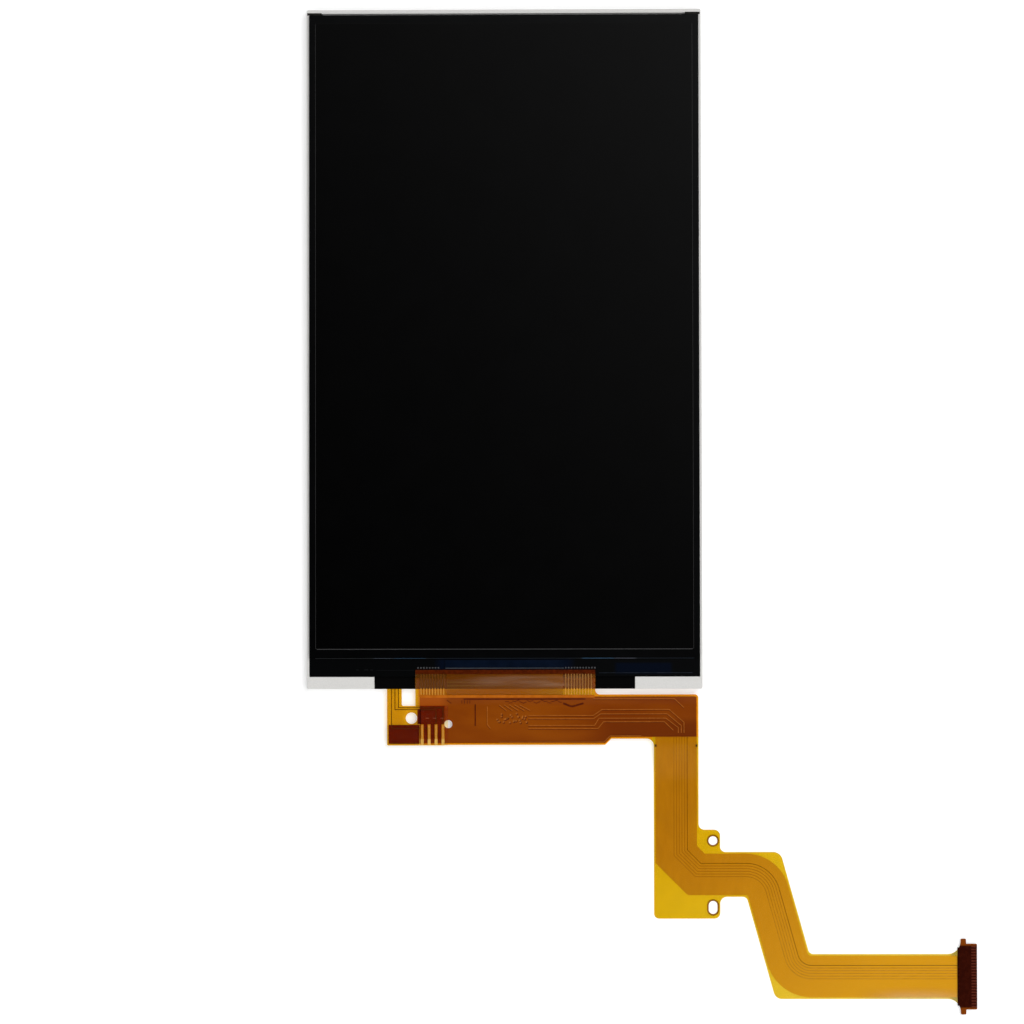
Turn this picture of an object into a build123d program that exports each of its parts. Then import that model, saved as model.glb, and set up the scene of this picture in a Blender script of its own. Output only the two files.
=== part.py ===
from build123d import *
import os
from math import cos, radians, sqrt, tan

# A bare liquid crystal display module, lying on its back with the picture side up.
# Origin: middle of the module's back face. +X right, +Y to the picture's top, +Z to the viewer.

# Module outline and mould frame
module_width = 69.6
module_height = 119.9
module_bottom = -module_height / 2
frame_height = 1.30
frame_corner_radius = 0.30
frame_edge_chamfer = 0.08
side_wall = 0.42
top_wall = 0.68
top_gap = 0.31
pad_depth = 2.13
bar_opening = 45.9
glass_clearance = 0.08
shelf_width = 0.75
sheet_clearance = 0.10
led_bar_depth = 4.84

# Thicknesses of the sheets, from the back to the front
reflector_thickness = 0.10
light_guide_thickness = 0.55
diffuser_thickness = 0.06
prism_thickness = 0.07
tape_thickness = 0.06
rear_polariser_thickness = 0.13
glass_thickness = 0.30
front_polariser_thickness = 0.15

# Plan sizes of the sheets and the glass
reflector_overlap = 0.30
sheet_setback = 0.55
guide_entry_gap = 0.05
rear_polariser_margin = 0.52
ledge_depth = 3.24
polariser_side_margin = 1.06
polariser_top_margin = 1.46
polariser_bottom_margin = 1.59
polariser_corner_radius = 0.25
tape_window_gap = 0.10
tape_tab_length = 2.30
tape_play = 0.05

# Driver chip on the glass ledge
chip_length = 20.9
chip_width = 1.35
chip_thickness = 0.25
chip_setback = 0.36

# Backlight LEDs, side view type
led_count = 8
led_pitch = 8.30
led_length = 3.80
led_depth = 1.00
led_mouth_length = 3.20
led_mouth_height = 0.36
led_mouth_depth = 0.35
led_pocket_play = 0.10

# Laminate layers of both flexible circuits
adhesive = 0.005
copper_thickness = 0.018
led_base_thickness = 0.075
led_coverlay_thickness = 0.042
coverlay_thickness = 0.045
base_thickness = 0.047
outer_layer_thickness = 0.075

# LED flex: a strip over the LEDs, an arm out of the module and a foot on the main flex
led_strip_length = 64.5
led_strip_overlap = 0.40
led_strip_depth = 2.86
led_flex_play = 0.10
led_arm_left = -20.72
led_arm_width = 2.60
led_foot_top = module_bottom - 2.96
led_foot_bottom = module_bottom - 9.92
led_foot_right = -9.97
led_inner_radius = 0.30
led_outer_radius = 0.20
led_hole_x = -16.42
led_hole_y = module_bottom - 5.13
led_hole_radius = 1.00
led_trace_width = 0.13
led_trace_margin = 0.78
led_trace_spacing = 0.62
led_trace_turn = 0.33
led_bus_inset = 0.62
land_count = 4
land_pitch = 1.22
land_width = 0.52
land_top = module_bottom - 6.22
land_edge = 0.10
land_last_x = -10.87
land_bare_length = 1.04
foot_stiffener_thickness = 0.20
foot_stiffener_top = module_bottom - 6.30
foot_stiffener_margin = 0.26
foot_stiffener_gap = 0.06

# Main flex, tab and body
tab_width = 31.66
tab_shift = 0.10
bond_overlap = 1.16
tab_corner_radius = 0.15
coverlay_setback = 0.30
body_left = -14.96
body_left_bulge = 0.26
body_neck_y = module_bottom - 3.06
body_bulge_y = module_bottom - 5.80
body_bulge_end_y = module_bottom - 6.20
body_right = 34.04
body_top = module_bottom - 1.00
body_bottom = module_bottom - 9.85
body_step_x = 18.73
body_step = 1.07
tab_fillet = 0.83
body_corner_radius = 0.62
body_small_radius = 0.20
tail_fillet = 1.25
body_hole_x = -9.94
body_hole_y = module_bottom - 6.19
body_hole_radius = 0.71
outer_layer_margin = 0.36
outer_layer_top = module_bottom - 1.36

# Main flex, tail: down, across, slanted down, across to the contacts
tail_width = 7.85
cross_run_y = module_bottom - 32.65
lean_x = 45.42
lean_angle = 15.7
low_run_y = module_bottom - 50.55
ear_top = module_bottom - 24.81
ear_right = 37.81
ear_bottom = module_bottom - 40.39
ear_fillet = 1.04
ear_corner_radius = 1.04
run_fillet = 0.94
slot_fillet = 1.20
tail_end_radius = 0.88
turn_outer_radius = 1.66
turn_lower_radius = 1.46

# Main flex, side view: two S bends bring it down to the surface it lies on
drop_start = module_bottom + 1.71
drop_end = module_bottom - 2.76
tail_drop_start = module_bottom - 9.50
tail_drop_end = module_bottom - 16.00

# Locating hole and slot
locating_x = 36.55
locating_hole_y = module_bottom - 26.72
locating_hole_radius = 0.78
locating_slot_y = module_bottom - 38.44
locating_slot_length = 2.30
ring_width = 0.30

# Conductors of the main flex
copper_margin = 0.29
corner_cut = 1.20
copper_bend_core = 0.10
copper_bend_inner = 0.47
fan_length = 1.87
tab_lead_count = 9
tab_lead_pitch = 0.50
tab_lead_width = 0.25
tab_lead_x = 12.72
tab_plane_width = 20.4
tail_gap_count = 6
tail_gap_width = 0.10
tail_gap_first = 1.98
tail_gap_pitch = 0.47

# Contact end
contact_count = 22
contact_pitch = 0.50
contact_width = 0.30
contact_length = 2.73
contact_end_x = 82.78
stiffener_length = 3.17
stiffener_thickness = 0.175
stiffener_ear_x = 79.93
stiffener_ear_width = 0.94
stiffener_ear_depth = 0.88
flare_land = 0.44
contact_corner_radius = 0.20
contact_notch_radius = 0.10

# Chip capacitors on the back of the main flex
capacitor_length = 1.00
capacitor_width = 0.50
capacitor_height = 0.33
capacitor_cap_length = 0.25
capacitor_body_relief = 0.02
capacitor_columns = 5
capacitor_rows = 2
capacitor_pitch_x = 3.54
capacitor_pitch_y = 2.29
capacitor_x = 4.16
capacitor_y = module_bottom - 5.99

# Levels of the stack
light_guide_z = reflector_thickness
diffuser_z = light_guide_z + light_guide_thickness
lower_prism_z = diffuser_z + diffuser_thickness
upper_prism_z = lower_prism_z + prism_thickness
shelf_z = upper_prism_z + prism_thickness
rear_polariser_z = shelf_z + tape_thickness
array_glass_z = rear_polariser_z + rear_polariser_thickness
colour_filter_z = array_glass_z + glass_thickness
front_polariser_z = colour_filter_z + glass_thickness

# Plan lines of the stack
frame_right = module_width / 2
frame_top = module_height / 2
pocket_right = frame_right - side_wall
pocket_top = frame_top - top_wall
pocket_bottom = module_bottom + pad_depth
glass_right = pocket_right - glass_clearance
glass_top = pocket_top - top_gap
array_bottom = pocket_bottom + glass_clearance
colour_filter_bottom = array_bottom + ledge_depth
polariser_right = glass_right - polariser_side_margin
polariser_top = glass_top - polariser_top_margin
polariser_bottom = colour_filter_bottom + polariser_bottom_margin
well_right = pocket_right - shelf_width
well_top = pocket_top - shelf_width
guide_entry = module_bottom + led_bar_depth
sheet_right = well_right - sheet_clearance
sheet_top = well_top - sheet_clearance
reflector_right = well_right + reflector_overlap
reflector_top = well_top + reflector_overlap
reflector_bottom = guide_entry - led_depth - led_pocket_play - reflector_overlap

# Levels and plan lines of the LED flex
led_flex_thickness = led_base_thickness + copper_thickness + led_coverlay_thickness + 2 * adhesive
led_flex_z = shelf_z - adhesive - led_flex_thickness
led_copper_z = led_flex_z + led_base_thickness + adhesive
led_coverlay_z = led_copper_z + copper_thickness + adhesive
led_height = led_flex_z - reflector_thickness
strip_top = guide_entry + led_strip_overlap
strip_bottom = strip_top - led_strip_depth
led_arm_right = led_arm_left + led_arm_width
land_xs = [land_last_x - land_pitch * step for step in reversed(range(land_count))]
land_bottom = led_foot_bottom + land_edge

# Heights of the main flex's layers above its underside, and of its underside above the surface
copper_rise = coverlay_thickness + adhesive
base_rise = copper_rise + copper_thickness + adhesive
film_thickness = base_rise + base_thickness
outer_rise = film_thickness + adhesive
body_thickness = outer_rise + outer_layer_thickness
bond_underside = colour_filter_z - coverlay_thickness
body_underside = led_flex_z - adhesive - body_thickness
tail_underside = 0.0

# Plan lines of the main flex
tab_left = tab_shift - tab_width / 2
tab_right = tab_shift + tab_width / 2
bond_top = array_bottom + bond_overlap
tail_left = body_right - tail_width
copper_bend_outer = tail_width + copper_bend_core
run_top = cross_run_y + tail_width / 2
run_bottom = cross_run_y - tail_width / 2
low_top = low_run_y + tail_width / 2
low_bottom = low_run_y - tail_width / 2
step_y = body_bottom + body_step
contact_half = (contact_count + 1) * contact_pitch / 2
flare_radius = contact_half + stiffener_ear_depth - tail_width / 2 - flare_land
contact_top = low_run_y + contact_half
contact_bottom = low_run_y - contact_half
contact_start_x = contact_end_x - contact_length
stiffener_ear_end_x = stiffener_ear_x + stiffener_ear_width
flex_far_y = contact_bottom - stiffener_ear_depth


# A rectangle given by its four sides, added to the open sketch
def span(left, right, bottom, top, mode=Mode.ADD):
    with Locations(((left + right) / 2, (bottom + top) / 2)):
        Rectangle(right - left, top - bottom, mode=mode)


# A closed outline of (x, y, corner radius) corners, added to the open sketch
def outline(corners):
    with BuildLine() as boundary:
        FilletPolyline([corner[:2] for corner in corners], radius=[corner[2] for corner in corners], close=True)
    make_face(boundary.edges())


# A cut sheet that lies flat, with rounded corners where a radius is given
def flat_sheet(left, right, bottom, top, z, thickness, corner_radius=0):
    with BuildPart() as sheet:
        with BuildSketch(Plane.XY.offset(z)) as plan:
            span(left, right, bottom, top)
            if corner_radius:
                fillet(plan.vertices(), corner_radius)
        extrude(amount=thickness)
    return sheet


# Distance along X from the slanted run's middle line to its own line, inset from the right edge
def lean_line(y, inset):
    lean = radians(lean_angle)
    return lean_x + (cross_run_y - y) * tan(lean) + (tail_width / 2 - inset) / cos(lean)


# Reflector film at the back of the backlight
reflector_sheet = flat_sheet(
    -reflector_right, reflector_right, reflector_bottom, reflector_top, 0, reflector_thickness
)

# White moulded frame: glass pocket, light guide well, LED pockets and the recess for the LED flex
with BuildPart() as mould_frame:
    with BuildSketch():
        Rectangle(module_width, module_height)
    extrude(amount=frame_height)
    fillet(mould_frame.edges().filter_by(Axis.Z), frame_corner_radius)
    chamfer(mould_frame.faces().sort_by(Axis.Z)[-1].edges(), frame_edge_chamfer)
    with BuildSketch(Plane.XY.offset(shelf_z)):
        span(-pocket_right, pocket_right, pocket_bottom, pocket_top)
        span(-bar_opening / 2, bar_opening / 2, module_bottom, pocket_bottom)
    extrude(amount=frame_height, mode=Mode.SUBTRACT)
    with BuildSketch():
        span(-well_right, well_right, guide_entry, well_top)
    extrude(amount=frame_height, mode=Mode.SUBTRACT)
    with BuildSketch():
        span(
            -reflector_right - sheet_clearance,
            reflector_right + sheet_clearance,
            reflector_bottom - sheet_clearance,
            reflector_top + sheet_clearance,
        )
    extrude(amount=reflector_thickness, mode=Mode.SUBTRACT)
    with BuildSketch(Plane.XY.offset(led_flex_z)):
        span(
            -led_strip_length / 2 - led_flex_play,
            led_strip_length / 2 + led_flex_play,
            strip_bottom - led_flex_play,
            guide_entry,
        )
        span(led_arm_left - led_flex_play, led_arm_right + led_flex_play, module_bottom, strip_bottom)
    extrude(amount=frame_height, mode=Mode.SUBTRACT)
    with BuildSketch(Plane.XY.offset(reflector_thickness)):
        with Locations((0, guide_entry - (led_depth + led_pocket_play) / 2)):
            with GridLocations(led_pitch, 0, led_count, 1):
                Rectangle(led_length + 2 * led_pocket_play, led_depth + led_pocket_play)
    extrude(amount=led_height, mode=Mode.SUBTRACT)

# Clear light guide plate, lit through its lower edge
light_guide = flat_sheet(
    -sheet_right, sheet_right, guide_entry + guide_entry_gap, sheet_top, light_guide_z, light_guide_thickness
)

# Diffuser and the two crossed prism sheets
sheet_bottom = guide_entry + sheet_setback
diffuser_sheet = flat_sheet(-sheet_right, sheet_right, sheet_bottom, sheet_top, diffuser_z, diffuser_thickness)
lower_prism_sheet = flat_sheet(
    -sheet_right, sheet_right, sheet_bottom, sheet_top, lower_prism_z, prism_thickness
)
upper_prism_sheet = flat_sheet(
    -sheet_right, sheet_right, sheet_bottom, sheet_top, upper_prism_z, prism_thickness
)

# Black rim tape: a ring under the glass, two tabs at the top corners, a tongue over the bottom bar
with BuildPart() as rim_tape:
    with BuildSketch(Plane.XY.offset(shelf_z)):
        span(-glass_right, glass_right, pocket_bottom, glass_top)
        span(-bar_opening / 2 + tape_play, bar_opening / 2 - tape_play, module_bottom, pocket_bottom)
        for side in (-1, 1):
            with Locations((side * (glass_right - tape_tab_length / 2), glass_top)):
                Rectangle(tape_tab_length, 2 * (top_gap - tape_play))
        span(
            -polariser_right - tape_window_gap,
            polariser_right + tape_window_gap,
            polariser_bottom - tape_window_gap,
            polariser_top + tape_window_gap,
            mode=Mode.SUBTRACT,
        )
    extrude(amount=tape_thickness)

# The panel: rear polariser, array glass with its ledge, colour filter glass, front polariser
rear_polariser = flat_sheet(
    -glass_right + rear_polariser_margin,
    glass_right - rear_polariser_margin,
    colour_filter_bottom + rear_polariser_margin,
    glass_top - rear_polariser_margin,
    rear_polariser_z,
    rear_polariser_thickness,
    polariser_corner_radius,
)
array_glass = flat_sheet(-glass_right, glass_right, array_bottom, glass_top, array_glass_z, glass_thickness)
colour_filter_glass = flat_sheet(
    -glass_right, glass_right, colour_filter_bottom, glass_top, colour_filter_z, glass_thickness
)
front_polariser = flat_sheet(
    -polariser_right,
    polariser_right,
    polariser_bottom,
    polariser_top,
    front_polariser_z,
    front_polariser_thickness,
    polariser_corner_radius,
)

# Driver chip, bonded face down on the ledge
chip_top = colour_filter_bottom - chip_setback
driver_chip = flat_sheet(
    -chip_length / 2, chip_length / 2, chip_top - chip_width, chip_top, colour_filter_z + adhesive, chip_thickness
)

# LEDs in a row along the light guide's edge, each with its open mouth towards the guide
with BuildPart() as backlight_leds:
    with BuildSketch(Plane.XY.offset(reflector_thickness)):
        with Locations((0, guide_entry - led_depth / 2)):
            with GridLocations(led_pitch, 0, led_count, 1):
                Rectangle(led_length, led_depth)
    extrude(amount=led_height)
    with BuildSketch(Plane.XZ.offset(-guide_entry)):
        with Locations((0, reflector_thickness + led_height / 2)):
            with GridLocations(led_pitch, 0, led_count, 1):
                Rectangle(led_mouth_length, led_mouth_height)
    extrude(amount=led_mouth_depth, mode=Mode.SUBTRACT)


# Plan of the LED flex: strip, arm and foot
def led_flex_plan():
    outline(
        [
            (-led_strip_length / 2, strip_top, led_outer_radius),
            (led_strip_length / 2, strip_top, led_outer_radius),
            (led_strip_length / 2, strip_bottom, led_outer_radius),
            (led_arm_right, strip_bottom, led_inner_radius),
            (led_arm_right, led_foot_top, led_inner_radius),
            (led_foot_right, led_foot_top, led_outer_radius),
            (led_foot_right, led_foot_bottom, led_outer_radius),
            (led_arm_left, led_foot_bottom, led_outer_radius),
            (led_arm_left, strip_bottom, led_inner_radius),
            (-led_strip_length / 2, strip_bottom, led_outer_radius),
        ]
    )
    with Locations((led_hole_x, led_hole_y)):
        Circle(led_hole_radius, mode=Mode.SUBTRACT)


# The solder lands: a row of strips at the foot's lower edge
def land_plan(mode=Mode.ADD):
    for x in land_xs:
        span(x - land_width / 2, x + land_width / 2, land_bottom, land_top, mode=mode)


# LED flex, base film
with BuildPart() as led_flex_base:
    with BuildSketch(Plane.XY.offset(led_flex_z)):
        led_flex_plan()
    extrude(amount=led_base_thickness)

# LED flex, three conductors: a common feed and one return for each half of the LED row
common_x = led_arm_left + led_trace_margin
middle_x = common_x + led_trace_spacing
right_x = middle_x + led_trace_spacing
bus_y = strip_bottom + led_bus_inset
middle_bus_y = bus_y + led_trace_spacing
common_turn_y = foot_stiffener_top - led_trace_spacing
right_turn_y = led_foot_top - led_trace_turn
middle_turn_y = right_turn_y - led_trace_turn
bus_reach = led_strip_length / 2 - led_trace_margin
led_trace_routes = [
    [(-bus_reach, bus_y), (common_x, bus_y), (common_x, common_turn_y), (land_xs[1], common_turn_y)],
    [(-bus_reach, middle_bus_y), (bus_reach, middle_bus_y)],
    [(middle_x, middle_bus_y), (middle_x, middle_turn_y), (land_xs[2], middle_turn_y), (land_xs[2], land_top)],
    [
        (bus_reach, bus_y),
        (right_x, bus_y),
        (right_x, right_turn_y),
        (land_xs[3], right_turn_y),
        (land_xs[3], land_top),
    ],
]
with BuildPart() as led_flex_copper:
    with BuildSketch(Plane.XY.offset(led_copper_z)):
        for route in led_trace_routes:
            with BuildLine():
                Polyline(route)
            trace(line_width=led_trace_width)
        land_plan(mode=Mode.SUBTRACT)
    extrude(amount=copper_thickness)

# LED flex, gold-plated lands soldered to the main flex
with BuildPart() as backlight_lands:
    with BuildSketch(Plane.XY.offset(led_copper_z)):
        land_plan()
    extrude(amount=copper_thickness)

# LED flex, coverlay, cut back from the bare ends of the lands
with BuildPart() as led_flex_coverlay:
    with BuildSketch(Plane.XY.offset(led_coverlay_z)):
        led_flex_plan()
        span(
            land_xs[0] - land_width,
            led_foot_right,
            led_foot_bottom,
            land_bottom + land_bare_length,
            mode=Mode.SUBTRACT,
        )
    extrude(amount=led_coverlay_thickness)

# Stiffener under the LED flex's foot, beside the main flex
led_flex_stiffener = flat_sheet(
    led_arm_left + foot_stiffener_margin,
    body_left - foot_stiffener_gap,
    led_foot_bottom + foot_stiffener_margin,
    foot_stiffener_top,
    led_flex_z - adhesive - foot_stiffener_thickness,
    foot_stiffener_thickness,
)


# Two tangent arcs that carry a line from one level down to another
def s_bend(start, end):
    middle = ((start[0] + end[0]) / 2, (start[1] + end[1]) / 2)
    TangentArc([start, middle], tangent=(-1, 0))
    TangentArc([end, middle], tangent=(1, 0))


# Side view of the main flex at a height above its underside, added to the open line
def flex_side_line(rise):
    on_ledge = bond_underside + rise
    at_body = body_underside + rise
    at_tail = tail_underside + rise
    Line((bond_top, on_ledge), (drop_start, on_ledge))
    s_bend((drop_start, on_ledge), (drop_end, at_body))
    Line((drop_end, at_body), (tail_drop_start, at_body))
    s_bend((tail_drop_start, at_body), (tail_drop_end, at_tail))
    Line((tail_drop_end, at_tail), (flex_far_y, at_tail))


# One bent layer of the main flex, as wide as the whole flex, from one rise to another
def bent_layer(low, high):
    with BuildPart() as layer:
        with BuildSketch(Plane.YZ.offset(tab_left)):
            with BuildLine():
                flex_side_line(low)
                flex_side_line(high)
                Line((bond_top, bond_underside + low), (bond_top, bond_underside + high))
                Line((flex_far_y, tail_underside + low), (flex_far_y, tail_underside + high))
            make_face()
        extrude(amount=contact_end_x - tab_left)
    return layer.part


coverlay_layer = bent_layer(0, coverlay_thickness)
copper_layer = bent_layer(copper_rise, copper_rise + copper_thickness)
base_layer = bent_layer(base_rise, film_thickness)
outer_layer = bent_layer(outer_rise, body_thickness)

# Outline of the main flex: tab, body, ears, tail and contact end, clockwise from the tab's top left
main_flex_outline = [
    (tab_left, bond_top, tab_corner_radius),
    (tab_right, bond_top, tab_corner_radius),
    (tab_right, body_top, tab_fillet),
    (body_right, body_top, body_corner_radius),
    (body_right, ear_top, ear_fillet),
    (ear_right, ear_top, ear_corner_radius),
    (ear_right, run_top, run_fillet),
    (lean_line(run_top, 0), run_top, turn_outer_radius),
    (lean_line(low_top, 0), low_top, run_fillet),
    (stiffener_ear_x, low_top, flare_radius),
    (stiffener_ear_x, contact_top + stiffener_ear_depth, contact_corner_radius),
    (stiffener_ear_end_x, contact_top + stiffener_ear_depth, contact_corner_radius),
    (stiffener_ear_end_x, contact_top, contact_notch_radius),
    (contact_end_x, contact_top, contact_corner_radius),
    (contact_end_x, contact_bottom, contact_corner_radius),
    (stiffener_ear_end_x, contact_bottom, contact_notch_radius),
    (stiffener_ear_end_x, contact_bottom - stiffener_ear_depth, contact_corner_radius),
    (stiffener_ear_x, contact_bottom - stiffener_ear_depth, contact_corner_radius),
    (stiffener_ear_x, low_bottom, flare_radius),
    (lean_line(low_bottom, tail_width), low_bottom, turn_lower_radius),
    (lean_line(run_bottom, tail_width), run_bottom, run_fillet),
    (ear_right, run_bottom, slot_fillet),
    (ear_right, ear_bottom, ear_corner_radius),
    (tail_left, ear_bottom, tail_end_radius),
    (tail_left, step_y, tail_fillet),
    (body_step_x, step_y, body_small_radius),
    (body_step_x - body_step, body_bottom, body_small_radius),
    (body_left, body_bottom, body_small_radius),
    (body_left, body_bulge_end_y, 0),
    (body_left - body_left_bulge, body_bulge_y, body_small_radius),
    (body_left, body_neck_y, body_small_radius),
    (tab_left, body_neck_y, body_small_radius),
]


# Holes of the main flex, widened by a margin: the body's hole, the locating hole and the slot
def flex_holes(margin, mode=Mode.SUBTRACT):
    with Locations((body_hole_x, body_hole_y)):
        Circle(body_hole_radius + margin, mode=mode)
    locating_holes(margin, mode)


def locating_holes(margin, mode):
    radius = locating_hole_radius + margin
    with Locations((locating_x, locating_hole_y)):
        Circle(radius, mode=mode)
    with Locations((locating_x, locating_slot_y)):
        SlotOverall(locating_slot_length + 2 * margin, 2 * radius, rotation=90, mode=mode)


# Height of the tool that cuts an outline through every level of the bent film
cut_height = colour_filter_z + body_thickness

# Main flex, base film on the upper side
with BuildPart() as main_flex_base:
    with BuildSketch():
        outline(main_flex_outline)
        flex_holes(0)
    extrude(amount=cut_height)
    add(base_layer, mode=Mode.INTERSECT)

# Main flex, coverlay on the underside, cut back from the glass bond and from the contacts
with BuildPart() as main_flex_coverlay:
    with BuildSketch():
        outline(main_flex_outline)
        flex_holes(0)
        span(tab_left, tab_right, array_bottom - coverlay_setback, bond_top, mode=Mode.SUBTRACT)
        span(
            contact_start_x,
            contact_end_x,
            flex_far_y,
            contact_top + stiffener_ear_depth,
            mode=Mode.SUBTRACT,
        )
    extrude(amount=cut_height)
    add(coverlay_layer, mode=Mode.INTERSECT)


# Corners of a conductor's edge that keeps its distance from the tail's right-hand edge all the way
def conductor_line(distance):
    cut = corner_cut + (2 - sqrt(2)) * distance
    x = body_right - distance
    run_y = run_top - distance
    low_y = low_top - distance
    return [
        (x, step_y, 0),
        (x, run_y + cut, 0),
        (x + cut, run_y, 0),
        (lean_line(run_y, distance), run_y, copper_bend_outer - distance),
        (lean_line(low_y, distance), low_y, copper_bend_inner + distance),
        (stiffener_ear_x - fan_length, low_y, 0),
    ]


# Main flex, conductors: bonded leads on the tab, a plane in the body, the tail's bundle, the fan-out
tail_copper_outline = [
    *conductor_line(copper_margin),
    (contact_start_x, contact_top - copper_margin, 0),
    (contact_start_x, contact_bottom + copper_margin, 0),
    *reversed(conductor_line(tail_width - copper_margin)),
]
tail_gaps = [tail_gap_first + tail_gap_pitch * step for step in range(tail_gap_count)]
body_copper_outline = [
    (body_left + copper_margin, outer_layer_top, 0),
    (body_right - copper_margin, outer_layer_top, body_small_radius),
    (body_right - copper_margin, step_y, 0),
    (body_right - tail_width + copper_margin, step_y, 0),
    (body_right - tail_width + copper_margin, step_y + copper_margin, 0),
    (body_step_x, step_y + copper_margin, 0),
    (body_step_x - body_step, body_bottom + copper_margin, 0),
    (body_left + copper_margin, body_bottom + copper_margin, 0),
]
with BuildPart() as main_flex_copper:
    with BuildSketch():
        outline(tail_copper_outline)
        for gap in tail_gaps:
            with BuildLine():
                corners = conductor_line(gap)
                FilletPolyline(
                    [corner[:2] for corner in corners], radius=[corner[2] for corner in corners[1:-1]]
                )
            trace(line_width=tail_gap_width, mode=Mode.SUBTRACT)
        outline(body_copper_outline)
        span(-tab_plane_width / 2, tab_plane_width / 2, outer_layer_top, bond_top)
        for side in (-1, 1):
            with Locations((side * tab_lead_x, (outer_layer_top + bond_top) / 2)):
                with GridLocations(tab_lead_pitch, 0, tab_lead_count, 1):
                    Rectangle(tab_lead_width, bond_top - outer_layer_top)
        flex_holes(copper_margin)
        locating_holes(ring_width + copper_margin, Mode.SUBTRACT)
    extrude(amount=cut_height)
    add(copper_layer, mode=Mode.INTERSECT)

# Main flex, copper rings round the locating hole and slot
with BuildPart() as locating_rings:
    with BuildSketch():
        locating_holes(ring_width, Mode.ADD)
        locating_holes(0, Mode.SUBTRACT)
    extrude(amount=cut_height)
    add(copper_layer, mode=Mode.INTERSECT)

# Main flex, built-up outer layers that thicken the body
with BuildPart() as main_flex_outer_layers:
    with BuildSketch():
        outline(
            [
                (body_left, outer_layer_top, body_small_radius),
                (body_right - outer_layer_margin, outer_layer_top, body_small_radius),
                (body_right - outer_layer_margin, step_y + outer_layer_margin, 0),
                (body_step_x, step_y + outer_layer_margin, 0),
                (body_step_x - body_step, body_bottom + outer_layer_margin, 0),
                (body_left, body_bottom + outer_layer_margin, 0),
            ]
        )
        with Locations((body_hole_x, body_hole_y)):
            Circle(body_hole_radius, mode=Mode.SUBTRACT)
    extrude(amount=cut_height)
    add(outer_layer, mode=Mode.INTERSECT)

# Contact end: the stiffener plate with its two ears, on the upper side
with BuildPart() as contact_stiffener:
    with BuildSketch(Plane.XY.offset(tail_underside + outer_rise)):
        outline(main_flex_outline)
        span(
            contact_end_x - stiffener_length,
            contact_end_x,
            flex_far_y,
            contact_top + stiffener_ear_depth,
            mode=Mode.INTERSECT,
        )
    extrude(amount=stiffener_thickness)

# Contact end: gold-plated fingers, bare on the underside
with BuildPart() as contact_fingers:
    with BuildSketch(Plane.XY.offset(tail_underside + copper_rise)):
        with Locations(((contact_start_x + contact_end_x) / 2, low_run_y)):
            with GridLocations(0, contact_pitch, 1, contact_count):
                Rectangle(contact_length, contact_width)
    extrude(amount=copper_thickness)

# Chip capacitors on the back of the body: ceramic middles, then the tinned end caps
def capacitor_grid():
    return GridLocations(capacitor_pitch_x, capacitor_pitch_y, capacitor_columns, capacitor_rows)


with BuildPart() as capacitor_bodies:
    with BuildSketch(Plane.XY.offset(body_underside - capacitor_height + capacitor_body_relief)):
        with Locations((capacitor_x, capacitor_y)):
            with capacitor_grid():
                Rectangle(
                    capacitor_length - 2 * capacitor_cap_length, capacitor_width - 2 * capacitor_body_relief
                )
    extrude(amount=capacitor_height - 2 * capacitor_body_relief)

with BuildPart() as capacitor_caps:
    with BuildSketch(Plane.XY.offset(body_underside - capacitor_height)):
        with Locations((capacitor_x, capacitor_y)):
            with capacitor_grid():
                with GridLocations(capacitor_length - capacitor_cap_length, 0, 2, 1):
                    Rectangle(capacitor_cap_length, capacitor_width)
    extrude(amount=capacitor_height)

# Every piece under its own name
pieces = {
    "reflector_sheet": reflector_sheet,
    "mould_frame": mould_frame,
    "light_guide": light_guide,
    "diffuser_sheet": diffuser_sheet,
    "lower_prism_sheet": lower_prism_sheet,
    "upper_prism_sheet": upper_prism_sheet,
    "rim_tape": rim_tape,
    "rear_polariser": rear_polariser,
    "array_glass": array_glass,
    "colour_filter_glass": colour_filter_glass,
    "front_polariser": front_polariser,
    "driver_chip": driver_chip,
    "backlight_leds": backlight_leds,
    "led_flex_base": led_flex_base,
    "led_flex_copper": led_flex_copper,
    "backlight_lands": backlight_lands,
    "led_flex_coverlay": led_flex_coverlay,
    "led_flex_stiffener": led_flex_stiffener,
    "main_flex_base": main_flex_base,
    "main_flex_coverlay": main_flex_coverlay,
    "main_flex_copper": main_flex_copper,
    "locating_rings": locating_rings,
    "main_flex_outer_layers": main_flex_outer_layers,
    "contact_stiffener": contact_stiffener,
    "contact_fingers": contact_fingers,
    "capacitor_bodies": capacitor_bodies,
    "capacitor_caps": capacitor_caps,
}
os.makedirs("parts", exist_ok=True)
for name, piece in pieces.items():
    piece.part.label = name
    export_step(piece.part, f"parts/{name}.step")
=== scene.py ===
import math

import bmesh
import bpy
from mathutils import Matrix, Vector


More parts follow.
